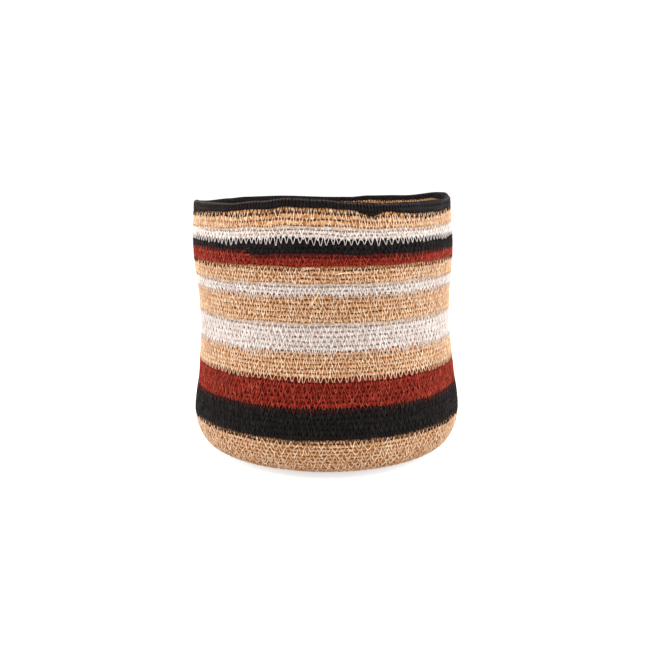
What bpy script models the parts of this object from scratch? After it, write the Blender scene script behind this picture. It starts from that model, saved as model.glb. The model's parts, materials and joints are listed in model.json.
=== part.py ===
"""Cylindrical basket of coiled cord, wound in bands of natural, white, black and red."""

import math

import bmesh
import bpy
from mathutils import Vector

# Outer face of the wall: how wide it is at the stations that it passes on its way up, and how tall
BELLY_RADIUS = 0.1362
BELLY_HEIGHT = 0.038
HIP_RADIUS = 0.1308
WAIST_RADIUS = 0.1262
SHOULDER_RADIUS = 0.1303
SHOULDER_DEPTH = 0.0525
RIM_RADIUS = 0.1270
RIM_HEIGHT = 0.2525

# The foot: the flat floor ends this far in from the belly, and the foot's cord this far above it
FOOT_INSET = 0.0402
FOOT_RISE = 0.0042

# The turn from floor to wall: shares of the foot's inset and of the belly's height
TURN_SHARES = (0.423, 0.118)
CORNER_SHARES = (0.803, 0.342)

# Hip and waist: shares of the height from belly to shoulder
HIP_SHARE = 0.26
WAIST_SHARE = 0.69

# Depth of the rim at the top of the wall
RIM_DEPTH = 0.009

# The cord, and how its courses lie on each other
CORD_THICKNESS = 0.0042
COURSE_GROOVE = 0.0012
BAND_GAP = 0.0003

# The stitched sleeve that covers the last courses
SLEEVE_THICKNESS = 0.0008
SLEEVE_CLEARANCE = 0.0003
SLEEVE_SWELL = 0.0004

# Hand-made unevenness: the rim rises and dips, and the upper wall leans to -X
RIM_WAVE = 0.0045
WAVE_DEPTH = 0.0675
TOP_LEAN = 0.0045
LEAN_START_HEIGHT = 0.080

# Height of the rim round the basket: share of a turn from the front towards +X, share of RIM_WAVE
RIM_WAVE_SHARES = (
    (0.00, 0.90), (0.03, 0.25), (0.065, -0.20), (0.11, -0.05), (0.165, 0.20), (0.29, 0.85), (0.38, -0.25),
    (0.445, -0.95), (0.565, -0.25), (0.63, -0.50), (0.78, -0.35), (0.885, -0.48), (0.93, 0.10), (0.965, 0.80),
)

# Courses of cord on the floor, round the turn and up the foot
FLOOR_COURSES = 22
TURN_COURSES = 9
FOOT_COURSES = 8

# Bands from the foot up, each with its courses and its share of the wall between foot and rim
BAND_SHARES = (
    ("band_black_lower", "black", 6, 0.132),
    ("band_red_lower", "red", 6, 0.134),
    ("band_natural_lower", "natural", 6, 0.134),
    ("band_white_wide", "white", 6, 0.130),
    ("band_natural_middle", "natural", 6, 0.121),
    ("band_white_narrow", "white", 3, 0.052),
    ("band_natural_upper", "natural", 4, 0.076),
    ("band_red_upper", "red", 3, 0.056),
    ("band_black_upper", "black", 3, 0.052),
    ("band_white_upper", "white", 3, 0.058),
    ("band_natural_top", "natural", 3, 0.064),
)

# Fineness of the facets
TURN_STEPS = 32
SPAN_SAMPLES = 24
PLAIN_SPAN_COURSES = 4
RIM_ROUND_STEPS = 4
WELD_DISTANCE = 0.00001
SMOOTH_ANGLE = math.radians(60)

# Base colour and roughness of each cord
CORD_FINISHES = {
    "natural": ((0.67, 0.43, 0.24, 1.0), 0.80),
    "white": ((0.80, 0.75, 0.70, 1.0), 0.75),
    "black": ((0.013, 0.012, 0.012, 1.0), 0.65),
    "red": ((0.29, 0.034, 0.020, 1.0), 0.75),
}


def clear_scene():
    for item in list(bpy.data.objects):
        bpy.data.objects.remove(item, do_unlink=True)


def smooth_span(before, start, end, after, t):
    """Point between start and end on a curve that also heads for the stations beside them."""
    length = (end - start).length
    slope_start = (end - before) * (length / (end - before).length)
    slope_end = (after - start) * (length / (after - start).length)
    t2 = t * t
    t3 = t2 * t
    from_start = start * (2 * t3 - 3 * t2 + 1) + slope_start * (t3 - 2 * t2 + t)
    to_end = end * (3 * t2 - 2 * t3) + slope_end * (t3 - t2)
    return from_start + to_end


class WallLine:
    """Half section of the outer face, from the axis along the floor and up to the rim."""

    def __init__(self):
        self.floor_end = BELLY_RADIUS - FOOT_INSET
        corner_height = BELLY_HEIGHT * CORNER_SHARES[1]
        shoulder_height = RIM_HEIGHT - SHOULDER_DEPTH
        body = shoulder_height - BELLY_HEIGHT
        stations = [
            Vector((0, 0)),
            Vector((self.floor_end, 0)),
            Vector((self.floor_end + FOOT_INSET * TURN_SHARES[0], BELLY_HEIGHT * TURN_SHARES[1])),
            Vector((self.floor_end + FOOT_INSET * CORNER_SHARES[0], corner_height)),
            Vector((BELLY_RADIUS, BELLY_HEIGHT)),
            Vector((HIP_RADIUS, BELLY_HEIGHT + body * HIP_SHARE)),
            Vector((WAIST_RADIUS, BELLY_HEIGHT + body * WAIST_SHARE)),
            Vector((SHOULDER_RADIUS, shoulder_height)),
            Vector((RIM_RADIUS, RIM_HEIGHT)),
        ]
        beyond_rim = stations[-1] * 2 - stations[-2]
        neighbours = stations + [beyond_rim]
        self.points = stations[:2]
        for index in range(1, len(stations) - 1):
            for sample in range(1, SPAN_SAMPLES + 1):
                self.points.append(smooth_span(*neighbours[index - 1:index + 3], sample / SPAN_SAMPLES))
        self.lengths = [0.0]
        for start, end in zip(self.points, self.points[1:]):
            self.lengths.append(self.lengths[-1] + (end - start).length)
        self.rim_start = self.lengths[-1] - RIM_DEPTH
        self.turn_end = self.length_to(corner_height)
        self.foot_end = self.length_to(BELLY_HEIGHT + FOOT_RISE)

    def length_to(self, height):
        """Length along the line to where it first reaches a height."""
        index = 0
        while self.points[index + 1].y < height:
            index += 1
        start, end = self.points[index], self.points[index + 1]
        share = (height - start.y) / (end.y - start.y)
        return self.lengths[index] + share * (end - start).length

    def at(self, along, outward=0.0):
        """Section point at a length along the line, moved off it by outward."""
        index = 0
        while index < len(self.lengths) - 2 and self.lengths[index + 1] < along:
            index += 1
        start, end = self.points[index], self.points[index + 1]
        direction = (end - start).normalized()
        place = start + direction * (along - self.lengths[index])
        return place + Vector((direction.y, -direction.x)) * outward

    def ribbed(self, low, high, courses, crest, groove):
        """A stretch in courses of cord: a crest on each course and a groove where two meet."""
        course = (high - low) / courses
        points = []
        for index in range(courses):
            points.append(self.at(low + index * course, groove))
            points.append(self.at(low + (index + 0.5) * course, crest))
        return points + [self.at(high, groove)]

    def plain(self, low, high, spans, offset):
        """The same stretch without its courses, in a few straight spans."""
        return [self.at(low + (high - low) * index / spans, offset) for index in range(spans + 1)]


def floor_section(line):
    """The floor: its coil seen from inside, over the flat that the basket stands on."""
    edge = line.floor_end - BAND_GAP / 2
    coil = line.ribbed(0, edge, FLOOR_COURSES, -CORD_THICKNESS, COURSE_GROOVE - CORD_THICKNESS)
    coil[0].x = 0
    return coil + [line.at(edge), line.at(0)]


def ring_section(line, low, high, courses):
    """A ring of the wall, with its courses outside and plain inside."""
    low += BAND_GAP / 2
    high -= BAND_GAP / 2
    outside = line.ribbed(low, high, courses, 0, -COURSE_GROOVE)
    return outside[::-1] + line.plain(low, high, math.ceil(courses / PLAIN_SPAN_COURSES), -CORD_THICKNESS)


def round_topped(line, inset):
    """The rim's skin, from its inner foot over the round top and down to its outer foot."""
    foot = line.at(line.rim_start + BAND_GAP / 2)
    top = line.at(line.lengths[-1])
    up = (top - foot).normalized()
    outward = Vector((up.y, -up.x))
    radius = CORD_THICKNESS / 2 + SLEEVE_SWELL - inset
    middle = foot - outward * (CORD_THICKNESS / 2)
    crown = middle + up * ((top - foot).length - inset - radius)
    points = [middle - outward * radius]
    for step in range(RIM_ROUND_STEPS + 1):
        angle = math.pi * (1 - step / RIM_ROUND_STEPS)
        points.append(crown + outward * (radius * math.cos(angle)) + up * (radius * math.sin(angle)))
    points.append(middle + outward * radius)
    return points


def rim_wave(turn_share):
    """Share of RIM_WAVE at a share of the turn, eased between neighbouring places."""
    first_place, first_height = RIM_WAVE_SHARES[0]
    ahead = RIM_WAVE_SHARES[1:] + ((first_place + 1.0, first_height),)
    for (place, height), (next_place, next_height) in zip(RIM_WAVE_SHARES, ahead):
        if turn_share <= next_place:
            along = (turn_share - place) / (next_place - place)
            return height + (next_height - height) * (1 - math.cos(math.pi * along)) / 2
    return first_height


def eased(value, start, end):
    along = min(max((value - start) / (end - start), 0.0), 1.0)
    return along * along * (3 - 2 * along)


def hand_shaped(place):
    """Where the hand-wound basket has a point of the true turned form."""
    turn_share = math.atan2(place.x, -place.y) / math.tau % 1.0
    rise = RIM_WAVE * rim_wave(turn_share) * eased(place.z, RIM_HEIGHT - WAVE_DEPTH, RIM_HEIGHT)
    lean = TOP_LEAN * eased(place.z, LEAN_START_HEIGHT, RIM_HEIGHT)
    return Vector((place.x - lean, place.y, place.z + rise))


def turned(name, section, material, collection):
    """Turn a section about Z, outer side running down, and give it its hand-made shape."""
    outline = bpy.data.meshes.new(name + "_outline")
    edges = [(index, index + 1) for index in range(len(section) - 1)]
    if section[0].x > 0:
        edges.append((len(section) - 1, 0))
    outline.from_pydata([(point.x, 0, point.y) for point in section], edges, [])
    piece = bpy.data.objects.new(name, outline)
    collection.objects.link(piece)
    screw = piece.modifiers.new("Turn", "SCREW")
    screw.steps = TURN_STEPS
    screw.render_steps = TURN_STEPS
    screw.use_merge_vertices = True
    screw.merge_threshold = WELD_DISTANCE
    solid = bpy.data.meshes.new_from_object(piece.evaluated_get(bpy.context.evaluated_depsgraph_get()))
    solid.name = name
    piece.modifiers.clear()
    piece.data = solid
    bpy.data.meshes.remove(outline)
    body = bmesh.new()
    body.from_mesh(solid)
    bmesh.ops.remove_doubles(body, verts=body.verts, dist=WELD_DISTANCE)
    for vertex in body.verts:
        vertex.co = hand_shaped(vertex.co)
    body.to_mesh(solid)
    body.free()
    solid.shade_smooth()
    solid.set_sharp_from_angle(angle=SMOOTH_ANGLE)
    solid.materials.append(material)
    return piece


def cord_material(colour):
    base, roughness = CORD_FINISHES[colour]
    material = bpy.data.materials.new(colour + "_cord")
    material.use_nodes = True
    shader = material.node_tree.nodes["Principled BSDF"]
    shader.inputs["Base Color"].default_value = base
    shader.inputs["Roughness"].default_value = roughness
    shader.inputs["Metallic"].default_value = 0.0
    return material


def build():
    clear_scene()
    collection = bpy.data.collections.new("coiled_basket")
    bpy.context.scene.collection.children.link(collection)
    cords = {colour: cord_material(colour) for colour in CORD_FINISHES}
    line = WallLine()
    turned("floor_natural", floor_section(line), cords["natural"], collection)
    turn = ring_section(line, line.floor_end, line.turn_end, TURN_COURSES)
    turned("turn_natural", turn, cords["natural"], collection)
    foot = ring_section(line, line.turn_end, line.foot_end, FOOT_COURSES)
    turned("foot_natural", foot, cords["natural"], collection)
    wall = line.rim_start - line.foot_end
    whole = sum(share for _, _, _, share in BAND_SHARES)
    low = line.foot_end
    for name, colour, courses, share in BAND_SHARES:
        high = low + wall * share / whole
        turned(name, ring_section(line, low, high, courses), cords[colour], collection)
        low = high
    sleeve = round_topped(line, 0)
    bore = round_topped(line, SLEEVE_THICKNESS)
    turned("rim_core", round_topped(line, SLEEVE_THICKNESS + SLEEVE_CLEARANCE), cords["black"], collection)
    turned("rim_stitching", sleeve + bore[::-1], cords["black"], collection)


build()
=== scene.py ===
"""Looks of the coiled basket: its cords, its zigzag sewing, its overcast rim and the stand it is shown on."""

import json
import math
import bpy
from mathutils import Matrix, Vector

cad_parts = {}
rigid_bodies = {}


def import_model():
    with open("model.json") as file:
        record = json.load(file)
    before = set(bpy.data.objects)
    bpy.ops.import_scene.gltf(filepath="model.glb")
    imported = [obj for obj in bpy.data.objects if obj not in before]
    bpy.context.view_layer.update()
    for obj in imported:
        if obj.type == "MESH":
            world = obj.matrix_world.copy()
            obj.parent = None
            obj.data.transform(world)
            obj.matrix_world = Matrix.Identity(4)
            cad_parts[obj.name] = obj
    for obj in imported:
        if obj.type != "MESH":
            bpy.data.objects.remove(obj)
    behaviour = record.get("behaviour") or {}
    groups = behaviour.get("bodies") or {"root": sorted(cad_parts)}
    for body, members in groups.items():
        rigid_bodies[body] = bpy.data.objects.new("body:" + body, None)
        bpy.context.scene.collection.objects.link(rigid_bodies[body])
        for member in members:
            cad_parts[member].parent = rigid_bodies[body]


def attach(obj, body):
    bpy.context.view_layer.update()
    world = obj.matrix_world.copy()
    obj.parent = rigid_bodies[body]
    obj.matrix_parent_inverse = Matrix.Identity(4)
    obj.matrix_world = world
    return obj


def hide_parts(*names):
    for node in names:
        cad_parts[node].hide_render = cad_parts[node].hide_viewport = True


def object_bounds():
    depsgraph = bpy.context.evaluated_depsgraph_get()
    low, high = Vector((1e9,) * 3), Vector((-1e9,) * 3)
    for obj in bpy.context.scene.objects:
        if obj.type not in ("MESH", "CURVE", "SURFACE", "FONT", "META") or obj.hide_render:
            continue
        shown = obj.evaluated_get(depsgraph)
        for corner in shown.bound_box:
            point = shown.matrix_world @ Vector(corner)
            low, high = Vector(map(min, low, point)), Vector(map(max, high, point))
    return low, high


bl_info = {
    "name": "Coiled Cord Basket",
    "version": (1, 0, 0),
    "blender": (4, 5, 0),
    "location": "View3D > Sidebar > Basket",
    "description": "Winds the cords of the basket round its frame, sews them and wraps the rim",
    "category": "Object",
}

import bmesh
import bpy
import numpy as np

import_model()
CAD_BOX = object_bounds()

# Outer face of the wall, as the frame's solids have it: radius and height of each station, in metres
WALL_STATIONS = (
    (0.0, 0.0), (0.096, 0.0), (0.1130, 0.0045), (0.1283, 0.0130), (0.1362, 0.038),
    (0.1308, 0.0801), (0.1262, 0.1498), (0.1303, 0.200), (0.1270, 0.2525),
)

# Points between two stations, heights where the cord has turned up and where the foot ends, the rim's depth, and
# the wall's thickness
SPAN_SAMPLES = 24
TURN_HEIGHT = 0.0130
FOOT_HEIGHT = 0.0422
RIM_DEPTH = 0.009
WALL_THICKNESS = 0.0042

# Hand-made unevenness: the upper wall leans to -X, and the rim rises and dips. The wave is given as the share
# of a turn from the front towards +X, and the share of its height.
RIM_WAVE = 0.0045
WAVE_START_HEIGHT = 0.185
TOP_LEAN = 0.0045
LEAN_START_HEIGHT = 0.080
RIM_WAVE_SHARES = (
    (0.00, 0.48), (0.03, -0.10), (0.065, -0.38), (0.11, -0.30), (0.165, -0.08), (0.235, 0.48), (0.262, 1.00),
    (0.29, 0.96), (0.38, -0.12), (0.43, -0.30), (0.458, -0.70), (0.49, -0.74), (0.565, -0.40), (0.62, -0.52),
    (0.65, -0.76), (0.70, -1.00), (0.75, -0.75), (0.78, -0.35), (0.885, -0.48), (0.93, 0.10), (0.965, 0.76),
)

# Unevenness of the rim's lower edge: height of its wave, how far below the edge it fades out, and its shares
RIM_FOOT_WAVE = 0.0030
RIM_FOOT_REACH = 0.0175
RIM_FOOT_SHARES = (
    (0.00, 0.62), (0.028, 0.95), (0.0555, 0.25), (0.07, 0.60), (0.11, -0.10), (0.165, -0.42), (0.20, 0.60),
    (0.235, 0.80), (0.262, 0.45), (0.30, 0.80), (0.45, 0.90), (0.52, 0.20), (0.81, 0.20), (0.889, 0.85),
    (0.93, 0.90), (0.95, 0.80), (0.972, 0.45),
)

# Each length of cord: name, frame node, colour, courses, share of the wall, and where its first turn starts
FOOT_LENGTHS = (
    ("floor", "floor_natural", "natural", 22),
    ("turn", "turn_natural", "natural", 9),
    ("foot", "foot_natural", "natural", 8),
)
BANDS = (
    ("black_lower", "band_black_lower", "black", 6, 0.147, -0.56),
    ("red_lower", "band_red_lower", "red", 6, 0.133, -0.47),
    ("natural_lower", "band_natural_lower", "natural", 6, 0.120, -0.52),
    ("white_wide", "band_white_wide", "white", 6, 0.127, -0.44),
    ("natural_middle", "band_natural_middle", "natural", 6, 0.124, -0.58),
    ("white_narrow", "band_white_narrow", "white", 3, 0.052, -0.49),
    ("natural_upper", "band_natural_upper", "natural", 4, 0.076, -0.54),
    ("red_upper", "band_red_upper", "red", 3, 0.051, -0.50),
    ("black_upper", "band_black_upper", "black", 3, 0.064, -0.086),
    ("white_upper", "band_white_upper", "white", 3, 0.048, -0.46),
    ("natural_top", "band_natural_top", "natural", 3, 0.067, -0.55),
)

# Turn count where the cord starts in the middle of the floor. For the rim's cord: its courses, where its first
# turn starts, how many turns it takes to run out at the top, and its thickness as a share of the others'.
FLOOR_START_TURN = 0.05
RIM_COURSES = 2
RIM_START_SHARE = -0.45
RIM_TAPER_TURNS = 0.45
RIM_CORE_SHARE = 1.06

# How far the crests of the cord lie inside the frame's face, by length along the wall: more under the floor,
# where threads pass
INSET_LENGTHS = (0.098, 0.125)
INSET_DEPTHS = (0.00095, 0.00035)


def linear(hex_colour):
    """An sRGB hex colour as linear red, green, blue and alpha."""
    channels = [int(hex_colour[place:place + 2], 16) / 255 for place in (1, 3, 5)]
    return tuple(c / 12.92 if c <= 0.04045 else ((c + 0.055) / 1.055) ** 2.4 for c in channels) + (1.0,)


def wall_line():
    """Radius, height and length along the outer face, from the middle of the floor to the rim."""
    stations = np.array(WALL_STATIONS)
    neighbours = np.vstack([stations, 2 * stations[-1] - stations[-2]])
    points = [stations[0], stations[1]]
    for index in range(1, len(stations) - 1):
        before, start, end, after = neighbours[index - 1:index + 3]
        length = np.linalg.norm(end - start)
        slope_start = (end - before) * length / np.linalg.norm(end - before)
        slope_end = (after - start) * length / np.linalg.norm(after - start)
        for sample in range(1, SPAN_SAMPLES + 1):
            t = sample / SPAN_SAMPLES
            from_start = start * (2 * t**3 - 3 * t**2 + 1) + slope_start * (t**3 - 2 * t**2 + t)
            points.append(from_start + end * (3 * t**2 - 2 * t**3) + slope_end * (t**3 - t**2))
    points = np.array(points)
    lengths = np.concatenate([[0.0], np.cumsum(np.linalg.norm(np.diff(points, axis=0), axis=1))])
    return points, lengths


class Winding:
    """The helix of the cord: turn count to place on the wall. Whole turn counts lie at the front."""

    def __init__(self):
        self.points, self.lengths = wall_line()
        steps = np.diff(self.points, axis=0)
        middles = (self.lengths[1:] + self.lengths[:-1]) / 2
        steps /= np.linalg.norm(steps, axis=1)[:, None]
        self.tangent_lengths, self.tangents = middles, steps
        rim_start = self.lengths[-1] - RIM_DEPTH
        foot_end = self.length_to(FOOT_HEIGHT)
        marks = [0.0, WALL_STATIONS[1][0], self.length_to(TURN_HEIGHT), foot_end]
        courses = [count for _, _, _, count in FOOT_LENGTHS]
        whole = sum(share for *_, share, _ in BANDS)
        for *_, count, share, _ in BANDS:
            marks.append(marks[-1] + (rim_start - foot_end) * share / whole)
            courses.append(count)
        marks.append(self.lengths[-1])
        courses.append(RIM_COURSES)
        self.mark_turns = np.concatenate([[0.0], np.cumsum(courses)]) - 0.5
        self.mark_lengths = np.array(marks)

    def length_to(self, height):
        """Length along the line to where it first reaches a height."""
        index = int(np.argmax(self.points[:, 1] >= height))
        (_, low), (_, high) = self.points[index - 1:index + 1]
        share = (height - low) / (high - low)
        return self.lengths[index - 1] + share * (self.lengths[index] - self.lengths[index - 1])

    def along(self, turns):
        """Length along the wall at turn counts."""
        return np.interp(turns, self.mark_turns, self.mark_lengths)

    def level_at(self, height):
        """Turn count whose even course lies at a height."""
        return np.interp(self.length_to(height), self.mark_lengths, self.mark_turns)

    def course(self, turns):
        """Width of one course there."""
        return self.along(turns + 0.5) - self.along(turns - 0.5)

    def pitch(self, azimuth, turns):
        """Distance between the seams above and below a course, on the hand-shaped wall."""
        upper, lower = (self.place(azimuth, turns + half, 0.0) for half in (0.5, -0.5))
        return np.linalg.norm(upper - lower, axis=-1)

    def inset(self, along):
        """How far the crests of the cord lie inside the frame's face."""
        return np.interp(along, INSET_LENGTHS, INSET_DEPTHS)

    def place(self, azimuth, turns, outward):
        """Points at an azimuth from the front, on the course of a turn count, outward from the frame's face."""
        along = self.along(turns)
        along = along + wander(azimuth, along)
        radius = np.interp(along, self.lengths, self.points[:, 0])
        height = np.interp(along, self.lengths, self.points[:, 1])
        slope_x = np.interp(along, self.tangent_lengths, self.tangents[:, 0])
        slope_z = np.interp(along, self.tangent_lengths, self.tangents[:, 1])
        size = np.hypot(slope_x, slope_z)
        outward = outward + sway(azimuth, along)
        radius = radius + outward * slope_z / size
        height = height - outward * slope_x / size
        return hand_shaped(radius * np.sin(azimuth), -radius * np.cos(azimuth), height)


# Waves of the hand-laid courses up and down the wall: waves round the basket, waves in a metre of wall, where
# they start in the turn, and height in metres
COURSE_WAVES = (
    (6, 31.0, 0.4, 0.00022), (11, -58.0, 2.9, 0.00020), (17, 77.0, 5.1, 0.00018),
    (29, -96.0, 1.3, 0.00012), (43, 64.0, 3.7, 0.00010),
)

# Slow dents and swellings of the soft wall: waves round the basket, radians in a metre of wall, where they
# start in the turn, and share of the depth
DENTS = ((3, 21, 0.6, 0.45), (5, -47, 2.1, 0.30), (9, 83, 4.0, 0.22))
DENT_DEPTH = 0.001

# Lengths along the wall: where both set in, above the floor's turn, over how much wall they do, and over how
# much the waves of the courses fade out again at the top of the rim
UNEVEN_START = 0.13
WAVES_SET_IN = 0.04
DENTS_SET_IN = 0.06
WAVES_END = 0.008


def wander(azimuth, along):
    """How far the courses lie above their even place, none at the floor and at the top of the rim."""
    set_in = np.clip((along - UNEVEN_START) / WAVES_SET_IN, 0, 1)
    fade_out = np.clip((WALL_LENGTH - along) / WAVES_END, 0, 1)
    return set_in * fade_out * sum(
        height * np.sin(round_count * azimuth + math.tau * per_metre * along + start)
        for round_count, per_metre, start, height in COURSE_WAVES
    )


def sway(azimuth, along):
    """How far the wall lies outside its even form in its dents and swellings, none at the floor."""
    set_in = np.clip((along - UNEVEN_START) / DENTS_SET_IN, 0, 1)
    return DENT_DEPTH * set_in * sum(
        depth * np.sin(round_count * azimuth + per_metre * along + start)
        for round_count, per_metre, start, depth in DENTS
    )


def wave_share(turn_share, shares):
    """Share of a wave at a share of the turn, eased between the places that it is given for."""
    places = np.array([place for place, _ in shares] + [1.0])
    heights = np.array([height for _, height in shares] + [shares[0][1]])
    index = np.clip(np.searchsorted(places, turn_share, side="right") - 1, 0, len(places) - 2)
    along = (turn_share - places[index]) / (places[index + 1] - places[index])
    return heights[index] + (heights[index + 1] - heights[index]) * (1 - np.cos(np.pi * along)) / 2


def eased(value, start, end):
    """Zero up to the start, one from the end on, and a smooth rise between."""
    along = np.clip((value - start) / (end - start), 0, 1)
    return along * along * (3 - 2 * along)


def hand_shaped(x, y, z):
    """Where the hand-wound basket has points of the true turned form."""
    rim_height = WALL_STATIONS[-1][1]
    rim_foot = rim_height - RIM_DEPTH
    turn_share = np.arctan2(x, -y) / math.tau % 1.0
    near_foot = eased(z, rim_foot - RIM_FOOT_REACH, rim_foot) * (1 - eased(z, rim_foot, rim_height))
    wave = RIM_WAVE * wave_share(turn_share, RIM_WAVE_SHARES) * eased(z, WAVE_START_HEIGHT, rim_height)
    foot_wave = RIM_FOOT_WAVE * wave_share(turn_share, RIM_FOOT_SHARES) * near_foot
    lean = TOP_LEAN * eased(z, LEAN_START_HEIGHT, rim_height)
    return np.stack([x - lean, y, z + wave + foot_wave], axis=-1)


WINDING = Winding()
WALL_LENGTH = WINDING.lengths[-1]


def lengths_of_cord():
    """Name, frame node, colour, and first and last turn count of each length of cord."""
    rows, counted = [], 0
    for name, node, colour, count in FOOT_LENGTHS:
        rows.append([name, node, colour, counted - 0.5])
        counted += count
    for name, node, colour, count, _, start in BANDS:
        rows.append([name, node, colour, counted + start])
        counted += count
    rows.append(["rim", "rim_core", "black", counted + RIM_START_SHARE])
    rows[0][3] = FLOOR_START_TURN
    ends = [row[3] for row in rows[1:]] + [counted + RIM_COURSES - 0.5 + RIM_TAPER_TURNS]
    return [(*row, end) for row, end in zip(rows, ends)]


def add_node(tree, kind, settings=None, inputs=None, links=None):
    """A node with its settings, socket values and incoming links."""
    node = tree.nodes.new(kind)
    for name, value in (settings or {}).items():
        setattr(node, name, value)
    for socket, value in (inputs or {}).items():
        node.inputs[socket].default_value = value
    for socket, source in (links or {}).items():
        tree.links.new(source, node.inputs[socket])
    return node


# Grain of cord and of thread: width of a fibre and of a patch of one shade in mm, height of the fibres in
# metres, and where the painted light colour sets in as the piece gets deeper, where it is full, and the least
# share of it there. This is painted shade in the seams, and a painted highlight on the rim's thread.
CORD_GRAIN = {"fibre_mm": 0.5, "patch_mm": 7.0, "relief": 0.0004, "painted_light_range": (0.02, 0.38, 0.25)}
THREAD_GRAIN = {"fibre_mm": 0.3, "patch_mm": 5.0, "relief": 0.0001, "painted_light_range": (0.30, 1.30, 0.70)}

# The streaks: length of one in fibre widths, how many lie round the piece, and their share of the shade
STREAK_LENGTH = 9
STREAKS_ROUND = 7.0
STREAK_SHARE = 0.55

# Noise values of the dark and the light shade, and those at which the painted light is weakest and strongest
SHADE_LEVELS = (0.37, 0.63)
PAINTED_LIGHT_LEVELS = (0.38, 0.58)

# Matt fibres: strength of their relief, their gloss, and how widely loose fibres scatter the light
RELIEF_STRENGTH = 0.6
FIBRE_GLOSS = 0.10
FUZZ_ROUGHNESS = 0.6


def fibre_finish(grain, name, shades, painted_light_colour, roughness, own, sheen, fuzz):
    """A finish of fibres that run along the piece: slow patches of shade, fine streaks and their relief.

    Shades are the dark, middle and light colour, and the painted light colour is painted shade in the seams,
    and a painted highlight on the rim's thread. Own is how much each strand has a shade of its own. Sheen is how
    strongly loose fibres catch light from the side, and fuzz their colour.
    """
    material = bpy.data.materials.new(name)
    material.use_nodes = True
    tree = material.node_tree
    shader = tree.nodes["Principled BSDF"]
    place = add_node(tree, "ShaderNodeTexCoord")
    patches = add_node(
        tree, "ShaderNodeTexNoise",
        inputs={"Scale": 1000 / grain["patch_mm"], "Detail": 2.0, "Roughness": 0.6},
        links={"Vector": place.outputs["Object"]},
    )
    lay = add_node(tree, "ShaderNodeAttribute", {"attribute_name": "lay"})
    stretched = add_node(
        tree, "ShaderNodeMapping",
        inputs={"Scale": (1000 / (STREAK_LENGTH * grain["fibre_mm"]), STREAKS_ROUND, 0.0)},
        links={"Vector": lay.outputs["Vector"]},
    )
    streaks = add_node(
        tree, "ShaderNodeTexNoise",
        inputs={"Scale": 1.0, "Detail": 3.0, "Roughness": 0.65},
        links={"Vector": stretched.outputs["Vector"]},
    )
    shade = add_node(
        tree, "ShaderNodeMix", {"data_type": "FLOAT"}, {"Factor": STREAK_SHARE},
        {"A": patches.outputs["Fac"], "B": streaks.outputs["Fac"]},
    )
    if own > 0:
        strand = add_node(tree, "ShaderNodeNewGeometry")
        shade = add_node(
            tree, "ShaderNodeMix", {"data_type": "FLOAT"}, {"Factor": own},
            {"A": shade.outputs["Result"], "B": strand.outputs["Random Per Island"]},
        )
    dark, middle, light = (linear(colour) for colour in shades)
    shaded = add_node(tree, "ShaderNodeValToRGB", links={"Fac": shade.outputs["Result"]})
    for end, level, colour in zip(shaded.color_ramp.elements, SHADE_LEVELS, (dark, light)):
        end.position = level
        end.color = colour
    shaded.color_ramp.elements.new(sum(SHADE_LEVELS) / 2).color = middle
    # Painted light from the lay's third value: painted shade in the seams, a painted highlight on the rim's thread
    painted_light_start, painted_light_full, painted_light_least = grain["painted_light_range"]
    parts = add_node(tree, "ShaderNodeSeparateXYZ", links={"Vector": lay.outputs["Vector"]})
    depth = add_node(
        tree, "ShaderNodeMapRange", {"interpolation_type": "SMOOTHSTEP"},
        {"From Min": painted_light_start, "From Max": painted_light_full, "To Min": 0.0, "To Max": 1.0},
        {"Value": parts.outputs["Z"]},
    )
    painted_light_patches = add_node(
        tree, "ShaderNodeMapRange",
        inputs={"From Min": PAINTED_LIGHT_LEVELS[0], "From Max": PAINTED_LIGHT_LEVELS[1], "To Min": painted_light_least, "To Max": 1.0},
        links={"Value": patches.outputs["Fac"]},
    )
    painted_light_share = add_node(
        tree, "ShaderNodeMath", {"operation": "MULTIPLY"},
        links={0: depth.outputs["Result"], 1: painted_light_patches.outputs["Result"]},
    )
    colour = add_node(
        tree, "ShaderNodeMix", {"data_type": "RGBA"}, {"B": linear(painted_light_colour)},
        {"Factor": painted_light_share.outputs["Value"], "A": shaded.outputs["Color"]},
    )
    tree.links.new(colour.outputs["Result"], shader.inputs["Base Color"])
    bump = add_node(
        tree, "ShaderNodeBump",
        inputs={"Strength": RELIEF_STRENGTH, "Distance": grain["relief"]},
        links={"Height": streaks.outputs["Fac"]},
    )
    tree.links.new(bump.outputs["Normal"], shader.inputs["Normal"])
    shader.inputs["Roughness"].default_value = roughness
    shader.inputs["Specular IOR Level"].default_value = FIBRE_GLOSS
    shader.inputs["Sheen Weight"].default_value = sheen
    shader.inputs["Sheen Roughness"].default_value = FUZZ_ROUGHNESS
    shader.inputs["Sheen Tint"].default_value = linear(fuzz)
    return material
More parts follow.
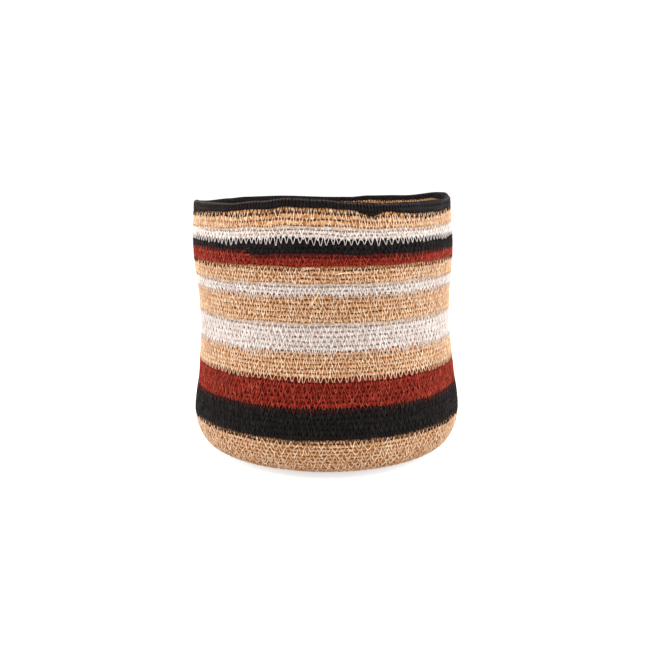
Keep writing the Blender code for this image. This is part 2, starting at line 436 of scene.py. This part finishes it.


# Cords are twisted plant fibre: matt, with streaks along the lay, shade that drifts from stalk to stalk, and
# painted shade in the seams, where little light comes in between two courses. Threads are spun, paler than the
# cord that they cross and with more loose fibre, so that a band looks paler towards the sides of the basket, where
# the eye meets only threads. The rim's thread has a painted highlight along its top edge, which its painted light
# colour gives. Each row holds the grain, the material's name, its shades, its painted light colour, and then
# roughness, own, sheen and fuzz.
FINISHES = {
    "natural_cord": (
        CORD_GRAIN, "twisted_seagrass_natural", ("#905A2B", "#BF895B", "#EAC49C"), "#562203",
        0.85, 0.0, 0.05, "#FFE8D4",
    ),
    "white_cord": (
        CORD_GRAIN, "twisted_seagrass_bleached", ("#AE988B", "#CDBBB0", "#ECDFD6"), "#7C6558",
        0.85, 0.0, 0.10, "#FFFFFF",
    ),
    "black_cord": (
        CORD_GRAIN, "twisted_seagrass_dyed_black", ("#080606", "#0E0B0B", "#1C1717"), "#030202",
        0.75, 0.0, 0.02, "#C8BEBC",
    ),
    "red_cord": (
        CORD_GRAIN, "twisted_seagrass_dyed_red", ("#4A0B05", "#70170D", "#A23A28"), "#1E0301",
        0.80, 0.0, 0.03, "#F8A28C",
    ),
    "natural_thread": (
        THREAD_GRAIN, "spun_thread_natural", ("#D09E74", "#EDC7A1", "#FFEAD0"), "#8A5530",
        0.70, 0.20, 0.17, "#FFF0E4",
    ),
    "white_thread": (
        THREAD_GRAIN, "spun_thread_white", ("#DDCFC8", "#F4EBE6", "#FFFCFA"), "#A08C82",
        0.65, 0.20, 0.10, "#FFFFFF",
    ),
    "black_thread": (
        THREAD_GRAIN, "spun_thread_black", ("#090606", "#120D0D", "#2C2424"), "#050404",
        0.60, 0.20, 0.02, "#C8BEBC",
    ),
    "red_thread": (
        THREAD_GRAIN, "spun_thread_red", ("#741E12", "#9C3020", "#C45640"), "#2A0907",
        0.70, 0.15, 0.10, "#F8A28C",
    ),
    # The rim's thread: its painted light colour is a painted highlight, paler than its shades
    "rim_thread": (
        THREAD_GRAIN, "filament_thread_black", ("#080505", "#100A0A", "#241A1A"), "#5A4A45",
        0.55, 0.10, 0.02, "#C8BEBC",
    ),
}


def finish_of(kind):
    """The material of a kind of cord or thread, made once."""
    name = FINISHES[kind][1]
    return bpy.data.materials.get(name) or fibre_finish(*FINISHES[kind])


# Lengthwise shift of the streaks from one strand to the next, in metres
LAY_SHIFT = 0.37


def strands_to_piece(name, strands, sizes, thickness, side_steps, finish, outward=None, painted_light_depths=None):
    """A mesh of round strands: one spline for each, swept with a round section and closed at its ends.

    Sizes are shares of the thickness at each point. Outward is the way out of the wall at each point of a cord,
    for the painted shade in its seams. Painted light depths are how deep in painted shade each point of a thread
    lies, and on the rim's thread how strong its painted highlight is.
    """
    sides = 4 + 2 * side_steps
    curve = bpy.data.curves.new(name + "_route", "CURVE")
    curve.dimensions = "3D"
    curve.bevel_depth = thickness / 2
    curve.bevel_resolution = side_steps
    for points, shares in zip(strands, sizes):
        spline = curve.splines.new("POLY")
        spline.points.add(len(points) - 1)
        spline.points.foreach_set("co", np.column_stack([points, np.ones(len(points))]).ravel())
        spline.points.foreach_set("radius", shares)
    route = bpy.data.objects.new(name + "_route", curve)
    bpy.context.scene.collection.objects.link(route)
    bpy.context.view_layer.update()
    mesh = bpy.data.meshes.new_from_object(route.evaluated_get(bpy.context.evaluated_depsgraph_get()))
    bpy.data.objects.remove(route)
    bpy.data.curves.remove(curve)
    mesh.name = name
    add_lay(mesh, strands, sides, outward, painted_light_depths)
    close_ends(mesh)
    mesh.materials.clear()
    mesh.materials.append(finish)
    mesh.shade_smooth()
    piece = bpy.data.objects.new(name, mesh)
    bpy.context.scene.collection.objects.link(piece)
    return piece


def close_ends(mesh):
    """Fill the open end of every strand, and turn all faces outward."""
    work = bmesh.new()
    work.from_mesh(mesh)
    bmesh.ops.holes_fill(work, edges=[edge for edge in work.edges if edge.is_boundary])
    bmesh.ops.recalc_face_normals(work, faces=work.faces)
    work.to_mesh(mesh)
    work.free()


def add_lay(mesh, strands, sides, outward, painted_light_depths):
    """Give each point its length along the strand in metres, its place round it, and its depth in painted light.
    """
    rows = []
    for number, points in enumerate(strands):
        steps = np.linalg.norm(np.diff(points, axis=0), axis=1)
        along = np.concatenate([[0.0], np.cumsum(steps)]) + LAY_SHIFT * number
        rows.append(np.column_stack([
            np.repeat(along, sides),
            np.tile(np.arange(sides) / sides, len(points)),
            np.zeros(len(points) * sides),
        ]))
    values = np.concatenate(rows)
    if len(values) != len(mesh.vertices):
        raise RuntimeError(f"{mesh.name} has {len(mesh.vertices)} points and not {len(values)}")
    # Painted shade in the cord's seams: deeper the more a point faces the next course
    if outward is not None:
        places = np.empty(len(values) * 3, np.float32)
        mesh.vertices.foreach_get("co", places)
        from_middle = places.reshape(-1, 3) - np.repeat(np.concatenate(strands), sides, axis=0)
        from_middle /= np.linalg.norm(from_middle, axis=1)[:, None]
        values[:, 2] = 1 - np.abs((from_middle * np.repeat(outward, sides, axis=0)).sum(axis=1))
    # Painted light given point by point: painted shade on the sewing, a painted highlight on the rim's thread
    if painted_light_depths is not None:
        values[:, 2] = np.repeat(np.concatenate(painted_light_depths), sides)
    lay = mesh.attributes.new("lay", "FLOAT_VECTOR", "POINT")
    lay.data.foreach_set("vector", values.astype(np.float32).ravel())


def settle(piece, slot, *nodes):
    """The piece rides on the basket's one body, and stands for its frame nodes."""
    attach(piece, "root")
    if nodes:
        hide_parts(*nodes)


class CordSizes(bpy.types.PropertyGroup):
    """Sizes of the wound cord."""

    step: bpy.props.FloatProperty(
        name="Step", description="Length of cord between two points of its route",
        default=0.0036, min=0.001, unit="LENGTH",
    )
    fullness: bpy.props.FloatProperty(
        name="Fullness", description="Cord thickness as a share of the course it fills",
        default=1.11, min=0.8, max=1.2, subtype="FACTOR",
    )
    unevenness: bpy.props.FloatProperty(
        name="Unevenness", description="How much the thickness of the cord varies, as a share",
        default=0.035, min=0.0, max=0.3, subtype="FACTOR",
    )
    seed: bpy.props.IntProperty(name="Seed", description="Which uneven cord", default=7)


class SewingSizes(bpy.types.PropertyGroup):
    """Sizes of the zigzag that sews each course to the one below."""

    stitch: bpy.props.FloatProperty(
        name="Stitch", description="Distance from one point of the zigzag to the next on the same side",
        default=0.0057, min=0.002, unit="LENGTH",
    )
    thread: bpy.props.FloatProperty(
        name="Thread", description="Thickness of the thread", default=0.00074, min=0.0002, unit="LENGTH",
    )
    turn: bpy.props.FloatProperty(
        name="Turn", description="How far apart the two legs are where the thread turns",
        default=0.0006, min=0.0, unit="LENGTH",
    )
    reach_up: bpy.props.FloatProperty(
        name="Reach up", description="How far the zigzag goes above its seam, in courses",
        default=0.66, min=0.3, max=2.0,
    )
    reach_down: bpy.props.FloatProperty(
        name="Reach down", description="How far the zigzag goes below its seam, in courses",
        default=1.30, min=0.3, max=2.0,
    )
    unevenness: bpy.props.FloatProperty(
        name="Unevenness", description="How much the stitches vary, as a share",
        default=0.24, min=0.0, max=0.4, subtype="FACTOR",
    )
    seed: bpy.props.IntProperty(name="Seed", description="Which uneven sewing", default=11)


class RimSizes(bpy.types.PropertyGroup):
    """Sizes of the thread that wraps the rim."""

    thread: bpy.props.FloatProperty(
        name="Thread", description="Thickness of the thread", default=0.0013, min=0.0002, unit="LENGTH",
    )
    spacing: bpy.props.FloatProperty(
        name="Spacing", description="Distance between two wraps", default=0.0015, min=0.0003, unit="LENGTH",
    )
    slant: bpy.props.FloatProperty(
        name="Slant", description="How far a wrap moves along the rim from its foot to the top",
        default=0.0015, unit="LENGTH",
    )
    seed: bpy.props.IntProperty(name="Seed", description="Which uneven wrapping", default=3)


class StandSizes(bpy.types.PropertyGroup):
    """Camera and floor."""

    distance: bpy.props.FloatProperty(
        name="Camera distance", description="From the basket's axis to the camera", default=0.82, unit="LENGTH",
    )
    eye_height: bpy.props.FloatProperty(
        name="Eye height", description="Height of the camera above the floor", default=0.2774, unit="LENGTH",
    )
    pitch: bpy.props.FloatProperty(
        name="Pitch", description="How far the camera looks down", default=math.radians(10.77), subtype="ANGLE",
    )
    sideways: bpy.props.FloatProperty(
        name="Sideways", description="Camera to the right of the axis", default=-0.0015, unit="LENGTH",
    )
    lens: bpy.props.FloatProperty(
        name="Lens", description="Focal length for a 36 mm sensor, in mm", default=44.6, min=1.0,
    )
    floor: bpy.props.FloatVectorProperty(
        name="Floor", description="Colour of the floor", default=linear("#D9D7D4")[:3], subtype="COLOR",
    )


# The cord swells and thins in waves, so many in a turn
SWELL_RATES = (3.3, 7.7, 13.1, 19.9, 31.3, 53.9)

# Thickness of the two ends of a length of cord, as a share, and steps of its round section from side to side. With
# a thickness of 2 metres the sizes of a strand are its radii.
CORD_END_SHARE = 0.8
CORD_SIDE_STEPS = 3
THICKNESS_FOR_RADII = 2.0

# A short way off the wall, which gives the direction out of it, and samples of a turn, which give even steps
PROBE = 0.0001
TURN_SAMPLES = 400


class BASKET_OT_wind_cords(bpy.types.Operator):
    """Wind every length of cord round the frame, from the floor's middle to the rim"""

    bl_idname = "basket.wind_cords"
    bl_label = "Wind the cords"

    def execute(self, context):
        sizes = context.scene.basket_cords
        random = np.random.default_rng(sizes.seed)
        phases = random.uniform(0, math.tau, len(SWELL_RATES))
        for name, node, colour, first, last in lengths_of_cord():
            turns = even_turns(first, last, sizes.step)
            along = WINDING.along(turns)
            wobble = sum(
                math.cos(phase) * np.sin(math.tau * turns * rate + phase)
                for phase, rate in zip(phases, SWELL_RATES)
            )
            radius = WINDING.pitch(math.tau * turns, turns) / 2 * sizes.fullness
            radius *= 1 + sizes.unevenness * wobble / 2
            radius[[0, -1]] *= CORD_END_SHARE
            outward = -WINDING.inset(along) - WINDING.course(turns) / 2 * sizes.fullness
            if name == "rim":
                radius = radius * RIM_CORE_SHARE
                outward = np.full(len(turns), -WALL_THICKNESS / 2)
            # In its last turn the cord climbs half as fast, so that its end runs out under the rim's thread
            level = np.minimum(turns, (turns + WINDING.mark_turns[-1] - 0.5) / 2)
            points = WINDING.place(math.tau * turns, level, outward)
            # The way out of the wall, which sets the painted shade in the cord's seams
            ways = WINDING.place(math.tau * turns, level, outward + PROBE) - points
            piece = strands_to_piece(
                "cord_" + name, [points], [radius], THICKNESS_FOR_RADII, CORD_SIDE_STEPS,
                finish_of(colour + "_cord"), outward=ways / PROBE,
            )
            settle(piece, colour + "_cord", node)
        return {"FINISHED"}


def even_turns(first, last, step):
    """Turn counts from first to last, about a step of cord apart."""
    fine = np.linspace(first, last, int((last - first) * TURN_SAMPLES) + 2)
    radius = np.interp(WINDING.along(fine), WINDING.lengths, WINDING.points[:, 0])
    run = np.concatenate([[0.0], np.cumsum((radius[1:] + radius[:-1]) / 2 * np.diff(fine) * math.tau)])
    count = int(run[-1] / step) + 1
    return np.interp(np.linspace(0, run[-1], count + 1), run, fine)


# Turn count where the sewing starts on the floor, and how far it goes on above the foot of the rim, in turns
SEWING_START_TURN = 1.6
SEWING_INTO_RIM = 1.05

# Drift of the stitches along the seam: share of half a stitch, and waves in a turn
STITCH_DRIFT = ((0.9, 4.3), (0.5, 11.7))

# Spread of the tips along and across the seam, as shares of the unevenness
PLACE_SPREAD = 0.5
REACH_SPREAD = 0.45


class BASKET_OT_sew_courses(bpy.types.Operator):
    """Sew each course to the one below it with a zigzag, on the outer and the inner face"""

    bl_idname = "basket.sew_courses"
    bl_label = "Sew the courses"

    def execute(self, context):
        sizes = context.scene.basket_sewing
        random = np.random.default_rng(sizes.seed)
        for name, _, colour, first, last in lengths_of_cord():
            stitch, thread, turn, reach_down, painted_shade_below = SEWING_SHARES["rim" if name == "rim" else colour]
            if name in FLOOR_SIDE:
                stitch *= FOOT_STITCH_SHARE
            first = max(first, SEWING_START_TURN)
            last = min(last, WINDING.mark_turns[-2] + SEWING_INTO_RIM)
            tips = even_turns(first, last, sizes.stitch * stitch / 2)
            step = np.gradient(tips)
            phases = random.uniform(0, math.tau, len(STITCH_DRIFT))
            drift = sum(
                share * np.sin(math.tau * rate * tips + phase)
                for (share, rate), phase in zip(STITCH_DRIFT, phases)
            )
            tips = tips + (drift + random.normal(0, sizes.unevenness * PLACE_SPREAD, len(tips))) * step
            strands, painted_light_depths = [], []
            for inner in (False, True):
                legs, leg_painted_light_depths = zigzag(
                    tips + (step / 2 if inner else 0.0), sizes, sizes.turn * turn,
                    sizes.reach_down * reach_down, painted_shade_below * (tips[:-1] < first + 1), random, inner,
                )
                strands += list(legs)
                painted_light_depths += list(leg_painted_light_depths)
            piece = thread_piece(
                "thread_" + name, strands, sizes.thread * thread, 0, finish_of(colour + "_thread"), painted_light_depths,
            )
            settle(piece, colour + "_cord")
        tails = [thread_tail(places) for places in THREAD_TAILS]
        piece = thread_piece(
            "thread_tails", tails, sizes.thread * TAIL_THREAD_SHARE, 1, finish_of("natural_thread"),
        )
        settle(piece, "natural_cord")
        return {"FINISHED"}


def thread_piece(name, strands, thickness, side_steps, finish, painted_light_depths=None):
    """A piece of threads of one even thickness."""
    sizes = [np.ones(len(points)) for points in strands]
    return strands_to_piece(name, strands, sizes, thickness, side_steps, finish, painted_light_depths=painted_light_depths)


# Loose tails of natural thread at the front: azimuth in degrees, height, and how far it stands off, in metres.
# Their thread is thicker than the sewing by this share, and each place of a tail gets this many points.
THREAD_TAILS = (
    (
        (-5.9, 0.1615, -0.0004), (-4.8, 0.1638, 0.0008), (-4.1, 0.1675, 0.0011), (-2.4, 0.1718, 0.0009),
        (-1.8, 0.1757, -0.0002),
    ),
    ((4.6, 0.1903, -0.0003), (6.4, 0.1914, 0.0008), (8.6, 0.1921, 0.0009), (10.4, 0.1920, -0.0001)),
    ((-8.0, 0.1935, -0.0003), (-6.3, 0.1952, 0.0007), (-4.2, 0.1961, 0.0008), (-2.9, 0.1958, -0.0001)),
)
TAIL_THREAD_SHARE = 1.2
TAIL_SAMPLES = 8


def thread_tail(places):
    """Points of a loose tail, eased between its places."""
    places = np.array(places)
    steps = np.linspace(0, len(places) - 1, TAIL_SAMPLES * len(places))
    azimuth, height, outward = (np.interp(steps, range(len(places)), column) for column in places.T)
    levels = np.array([WINDING.level_at(value) for value in height])
    return WINDING.place(np.radians(azimuth), levels, outward)


# Sewing of each colour and of the rim, as shares of the usual stitch, thread, turn and reach down, and how much
# painted shade darkens the lower half where it lies on the colour below
SEWING_SHARES = {
    "natural": (1.00, 1.10, 1.50, 0.66, 0.78),
    "white": (0.98, 0.94, 0.70, 0.93, 0.82),
    "black": (0.92, 1.22, 0.60, 0.80, 0.0),
    "red": (1.02, 1.02, 0.90, 0.88, 1.25),
    "rim": (1.15, 1.30, 0.60, 1.00, 0.0),
}
FLOOR_SIDE = ("floor", "turn", "foot")
FOOT_STITCH_SHARE = 1.25

# A leg of the zigzag from its lower to its upper end: place across the seam as a share of the reach below
# (first three) or of the reach above it, how far the thread's middle lies off the cord's crests, in metres, and
# how deep it lies in painted shade. The lower half lies over the sewing of the course below, which was there
# first.
OUTER_LEG = (
    (-1.0, -0.00010, 0.2), (-0.86, 0.00046, 0.0), (-0.36, 0.00044, 0.0),
    (0.0, 0.00014, 0.35), (0.5, 0.00012, 0.15), (1.0, -0.00045, 0.8),
)
INNER_LEG = ((-1.0, -0.00025, 0.3), (-0.36, 0.00035, 0.0), (0.5, 0.00015, 0.3), (1.0, -0.00045, 0.9))

# Seams that stand open at the front: first and last share of the turn, and height in metres. Over one, a share
# of the tips stops short, at a reach in courses, and a share of the legs is there at all.
OPEN_SEAMS = ((-0.024, 0.043, 0.166), (-0.010, 0.030, 0.188), (-0.068, -0.044, 0.169))
SHORT_TIPS_SHARE = 0.6
SHORT_REACH = 0.8
KEPT_LEGS_SHARE = 0.72

# Furthest reach of a tip in courses, how far the lower end of a leg lies back as a share of its run, spread of
# the thread's lift in metres, and how far the sewing inside lies behind the crests outside, in courses
MOST_REACH = 1.9
LOOP_BACK = 0.10
LIFT_SPREAD = 0.00006
INNER_DEPTH = 1.04


def seam_open(turns, level):
    """Whether the seam at a level is one of the open ones there."""
    share = (turns + 0.5) % 1.0 - 0.5
    height = np.interp(WINDING.along(level), WINDING.lengths, WINDING.points[:, 1])
    near = WINDING.course(level) / 2
    found = np.zeros(len(turns), bool)
    for first, last, middle in OPEN_SEAMS:
        found |= (share > first) & (share < last) & (np.abs(height - middle) <= near)
    return found


def zigzag(tips, sizes, turn, reach_down, painted_shade_below, random, inner):
    """Legs of the zigzag between its tips, which lie in turn below and above the seam under the course.

    Painted shade below is how much painted shade darkens the lower half of each leg.
    """
    count = len(tips)
    low = np.arange(count) % 2 == 0
    spread = 1 + random.normal(0, sizes.unevenness * REACH_SPREAD, count)
    reach = np.minimum(np.where(low, reach_down, sizes.reach_up) * spread, MOST_REACH)
    reach[low & seam_open(tips, tips - 1.5) & (random.random(count) < SHORT_TIPS_SHARE)] = SHORT_REACH
    radius = np.interp(WINDING.along(tips), WINDING.lengths, WINDING.points[:, 0])
    apart = turn / 2 / radius / math.tau * (1 + random.normal(0, sizes.unevenness, count))
    rising = low[:-1]
    down = np.where(rising, reach[:-1], reach[1:])
    up = np.where(rising, reach[1:], reach[:-1])
    start = np.where(rising, tips[:-1] + apart[:-1], tips[1:] - apart[1:])
    end = np.where(rising, tips[1:] - apart[1:], tips[:-1] + apart[:-1])
    places, lifts, painted_light_depths = np.array(INNER_LEG if inner else OUTER_LEG).T
    lower = places < 0
    across = np.where(lower, places * down[:, None], places * up[:, None])
    share = (across + down[:, None]) / (down + up)[:, None]
    turns = start[:, None] + (end - start)[:, None] * share
    turns[:, 0] -= (end - start) * LOOP_BACK
    level = turns - 0.5 + across
    lift = lifts + random.normal(0, LIFT_SPREAD, across.shape)
    outward = (-lift if inner else lift) - WINDING.inset(WINDING.along(level))
    if inner:
        outward -= WINDING.course(level) * INNER_DEPTH
    kept = ~seam_open(start, start - 0.5) | (random.random(count - 1) < KEPT_LEGS_SHARE)
    # Painted shade on the lower half of each leg, where it lies on the colour below
    painted_light_depths = painted_light_depths + painted_shade_below[:, None] * lower
    return WINDING.place(math.tau * turns, level, outward)[kept], painted_light_depths[kept]


# Knots where the wrapping thread was tied off: azimuth, half width and depth below the rim, and their swelling
RIM_KNOTS = ((math.radians(19.5), math.radians(3.9), 0.0027),)
KNOT_SWELL = 0.0009

# A wrap stands off the wall by a little room. It comes out of the wall just above the rim's lower seam, its two
# ends lie in the wall, past the middle and below the seam, and over the rounded top it lies at a share of the way
# out and up. Levels are in courses, and the rest is in metres.
WRAP_ROOM = 0.0006
WRAP_END_PAST = 0.0012
WRAP_END_LEVEL = -0.12
WRAP_HOLE_LEVEL = 0.02
WRAP_CORNER_SHARE = 0.7

# Spread of the wraps along the rim as a share of their spacing, off the wall in metres, and at the foot in courses
WRAP_SPACING_SPREAD = 0.12
WRAP_LIFT_SPREAD = 0.00010
WRAP_FOOT_SPREAD = 0.05


class BASKET_OT_wrap_rim(bpy.types.Operator):
    """Wrap the last courses with a close overcast thread"""

    bl_idname = "basket.wrap_rim"
    bl_label = "Wrap the rim"

    def execute(self, context):
        sizes = context.scene.basket_rim
        random = np.random.default_rng(sizes.seed)
        low, top = WINDING.mark_turns[-2], WINDING.mark_turns[-1]
        radius = WALL_STATIONS[-1][0]
        count = int(math.tau * radius / sizes.spacing)
        half = WALL_THICKNESS / 2 + WRAP_ROOM - sizes.thread / 2
        course = RIM_DEPTH / RIM_COURSES
        crown = top - (half + sizes.thread / 2) / course
        corner = half * WRAP_CORNER_SHARE
        # Outward and level of the thread's middle, and its painted highlight, from the outer foot over the top
        path = np.array([
            (-WRAP_END_PAST, low + WRAP_END_LEVEL, 0.0),
            (half, low + WRAP_HOLE_LEVEL, 0.0),
            (half, crown, 0.25),
            (corner, crown + corner / course, 1.2),
            (0.0, crown + half / course, 0.2),
            (-corner, crown + corner / course, 0.0),
            (-half, crown, 0.0),
            (-half, low + WRAP_HOLE_LEVEL, 0.0),
            (WRAP_END_PAST, low + WRAP_END_LEVEL, 0.0),
        ])
        offsets, levels, painted_highlight = path.T
        offsets = offsets - WALL_THICKNESS / 2
        lean = np.clip((levels - low) / (top - low), 0, 1) * sizes.slant / radius
        outer_foot = np.array([1.0, 1.0] + [0.0] * (len(path) - 2))
        strands = []
        for number in range(count):
            azimuth = math.tau * number / count + random.normal(0, WRAP_SPACING_SPREAD) * sizes.spacing / radius
            lift = random.normal(0, WRAP_LIFT_SPREAD)
            deeper = random.normal(0, WRAP_FOOT_SPREAD)
            outward = offsets + lift * np.sign(offsets)
            for middle, width, depth in RIM_KNOTS:
                knot = math.exp(-((((azimuth - middle) / math.tau + 0.5) % 1.0 - 0.5) * math.tau / width) ** 2)
                deeper -= depth / course * knot
                outward = outward + outer_foot * KNOT_SWELL * knot
            way = 1 if number % 2 else -1
            strands.append(WINDING.place(azimuth + lean * way, levels + outer_foot * deeper, outward))
        piece = thread_piece("rim_overcast", strands, sizes.thread, 1, finish_of("rim_thread"), [painted_highlight] * count)
        settle(piece, "black_thread", "rim_stitching")
        return {"FINISHED"}


# The stand in metres, with the sensor in millimetres. The lamps are square, and have a place and watts.
FLOOR_SIZE = 80.0
SENSOR_WIDTH_MM = 36.0
NEAREST_SEEN = 0.05
LAMP_SIZE = 0.9
LAMPS = (
    ("lamp_left", (-1.20, -0.15, 0.70), 17.1),
    ("lamp_right", (1.20, -0.15, 0.70), 17.1),
    ("lamp_top", (0.0, -0.62, 0.82), 5.5),
)

# Light that the floor adds for the eye, light of the surround on the basket, and what it adds for the eye
FLOOR_GLOW = 0.70
SURROUND_LIGHT = 0.46
SURROUND_GLOW = 0.54
WHITE = (1.0, 1.0, 1.0, 1.0)


class BASKET_OT_set_stand(bpy.types.Operator):
    """Set the pale floor, the soft lamps, the white surround and the camera"""

    bl_idname = "basket.set_stand"
    bl_label = "Set the stand"

    def execute(self, context):
        sizes = context.scene.basket_stand
        scene = context.scene
        scene.view_settings.view_transform = "Standard"
        bpy.ops.mesh.primitive_plane_add(size=FLOOR_SIZE)
        floor = context.object
        floor.name = "floor"
        floor.data.materials.append(floor_finish(sizes.floor))
        set_surround(scene)
        for lamp in LAMPS:
            add_lamp(*lamp)
        camera = bpy.data.objects.new("camera", bpy.data.cameras.new("camera"))
        scene.collection.objects.link(camera)
        camera.location = (sizes.sideways, -sizes.distance, sizes.eye_height)
        camera.rotation_euler = (math.pi / 2 - sizes.pitch, 0, 0)
        camera.data.sensor_width = SENSOR_WIDTH_MM
        camera.data.lens = sizes.lens
        camera.data.clip_start = NEAREST_SEEN
        scene.camera = camera
        return {"FINISHED"}


def floor_finish(colour):
    """Matt pale painted board: it keeps the soft shadow, and its added light makes it read as white."""
    material = bpy.data.materials.new("painted_board_pale")
    material.use_nodes = True
    tree = material.node_tree
    shader = tree.nodes["Principled BSDF"]
    shader.inputs["Base Color"].default_value = (*colour, 1.0)
    shader.inputs["Roughness"].default_value = 0.9
    shader.inputs["Emission Color"].default_value = WHITE
    glow = add_node(
        tree, "ShaderNodeMath", {"operation": "MULTIPLY"}, {1: FLOOR_GLOW}, {0: seen_or_mirrored(tree)},
    )
    tree.links.new(glow.outputs["Value"], shader.inputs["Emission Strength"])
    return material


def seen_or_mirrored(tree):
    """One where the eye, a mirror or a glass looks at it, and zero where it lights the basket."""
    ray = add_node(tree, "ShaderNodeLightPath")
    shiny = add_node(
        tree, "ShaderNodeMath", {"operation": "MAXIMUM"},
        links={0: ray.outputs["Is Glossy Ray"], 1: ray.outputs["Is Transmission Ray"]},
    )
    either = add_node(
        tree, "ShaderNodeMath", {"operation": "MAXIMUM"},
        links={0: ray.outputs["Is Camera Ray"], 1: shiny.outputs["Value"]},
    )
    return either.outputs["Value"]


def set_surround(scene):
    """White to the eye, and a plain soft light on the basket."""
    world = bpy.data.worlds.new("surround")
    scene.world = world
    world.use_nodes = True
    tree = world.node_tree
    ground = tree.nodes["Background"]
    ground.inputs["Color"].default_value = WHITE
    strength = add_node(
        tree, "ShaderNodeMath", {"operation": "MULTIPLY_ADD"}, {1: SURROUND_GLOW, 2: SURROUND_LIGHT},
        {0: seen_or_mirrored(tree)},
    )
    tree.links.new(strength.outputs["Value"], ground.inputs["Strength"])


def add_lamp(name, place, power):
    """A square soft lamp that faces the middle of the basket."""
    data = bpy.data.lights.new(name, "AREA")
    data.shape = "SQUARE"
    data.size = LAMP_SIZE
    data.energy = power
    lamp = bpy.data.objects.new(name, data)
    bpy.context.scene.collection.objects.link(lamp)
    lamp.location = place
    middle = (CAD_BOX[0] + CAD_BOX[1]) / 2
    lamp.rotation_euler = (middle - lamp.location).to_track_quat("-Z", "Y").to_euler()


class BASKET_PT_panel(bpy.types.Panel):
    """Lists the basket's sizes and the steps that make it"""

    bl_idname = "BASKET_PT_panel"
    bl_label = "Coiled basket"
    bl_space_type = "VIEW_3D"
    bl_region_type = "UI"
    bl_category = "Basket"

    def draw(self, context):
        for settings, operator in STEPS:
            box = self.layout.box()
            group = getattr(context.scene, settings)
            for name in group.bl_rna.properties.keys():
                if name not in ("rna_type", "name"):
                    box.prop(group, name)
            box.operator(operator)


STEPS = (
    ("basket_cords", "basket.wind_cords"),
    ("basket_sewing", "basket.sew_courses"),
    ("basket_rim", "basket.wrap_rim"),
    ("basket_stand", "basket.set_stand"),
)
SETTINGS = {
    "basket_cords": CordSizes,
    "basket_sewing": SewingSizes,
    "basket_rim": RimSizes,
    "basket_stand": StandSizes,
}
OPERATORS = (BASKET_OT_wind_cords, BASKET_OT_sew_courses, BASKET_OT_wrap_rim, BASKET_OT_set_stand)


def register():
    for name, group in SETTINGS.items():
        bpy.utils.register_class(group)
        setattr(bpy.types.Scene, name, bpy.props.PointerProperty(type=group))
    for cls in (*OPERATORS, BASKET_PT_panel):
        bpy.utils.register_class(cls)


def unregister():
    for cls in (BASKET_PT_panel, *reversed(OPERATORS)):
        bpy.utils.unregister_class(cls)
    for name, group in SETTINGS.items():
        delattr(bpy.types.Scene, name)
        bpy.utils.unregister_class(group)


def main():
    register()
    for item in list(bpy.data.objects):
        if item.name in ("Cube", "Light", "Camera"):
            bpy.data.objects.remove(item)
    bpy.ops.basket.wind_cords()
    bpy.ops.basket.sew_courses()
    bpy.ops.basket.wrap_rim()
    bpy.ops.basket.set_stand()


if __name__ == "__main__":
    main()
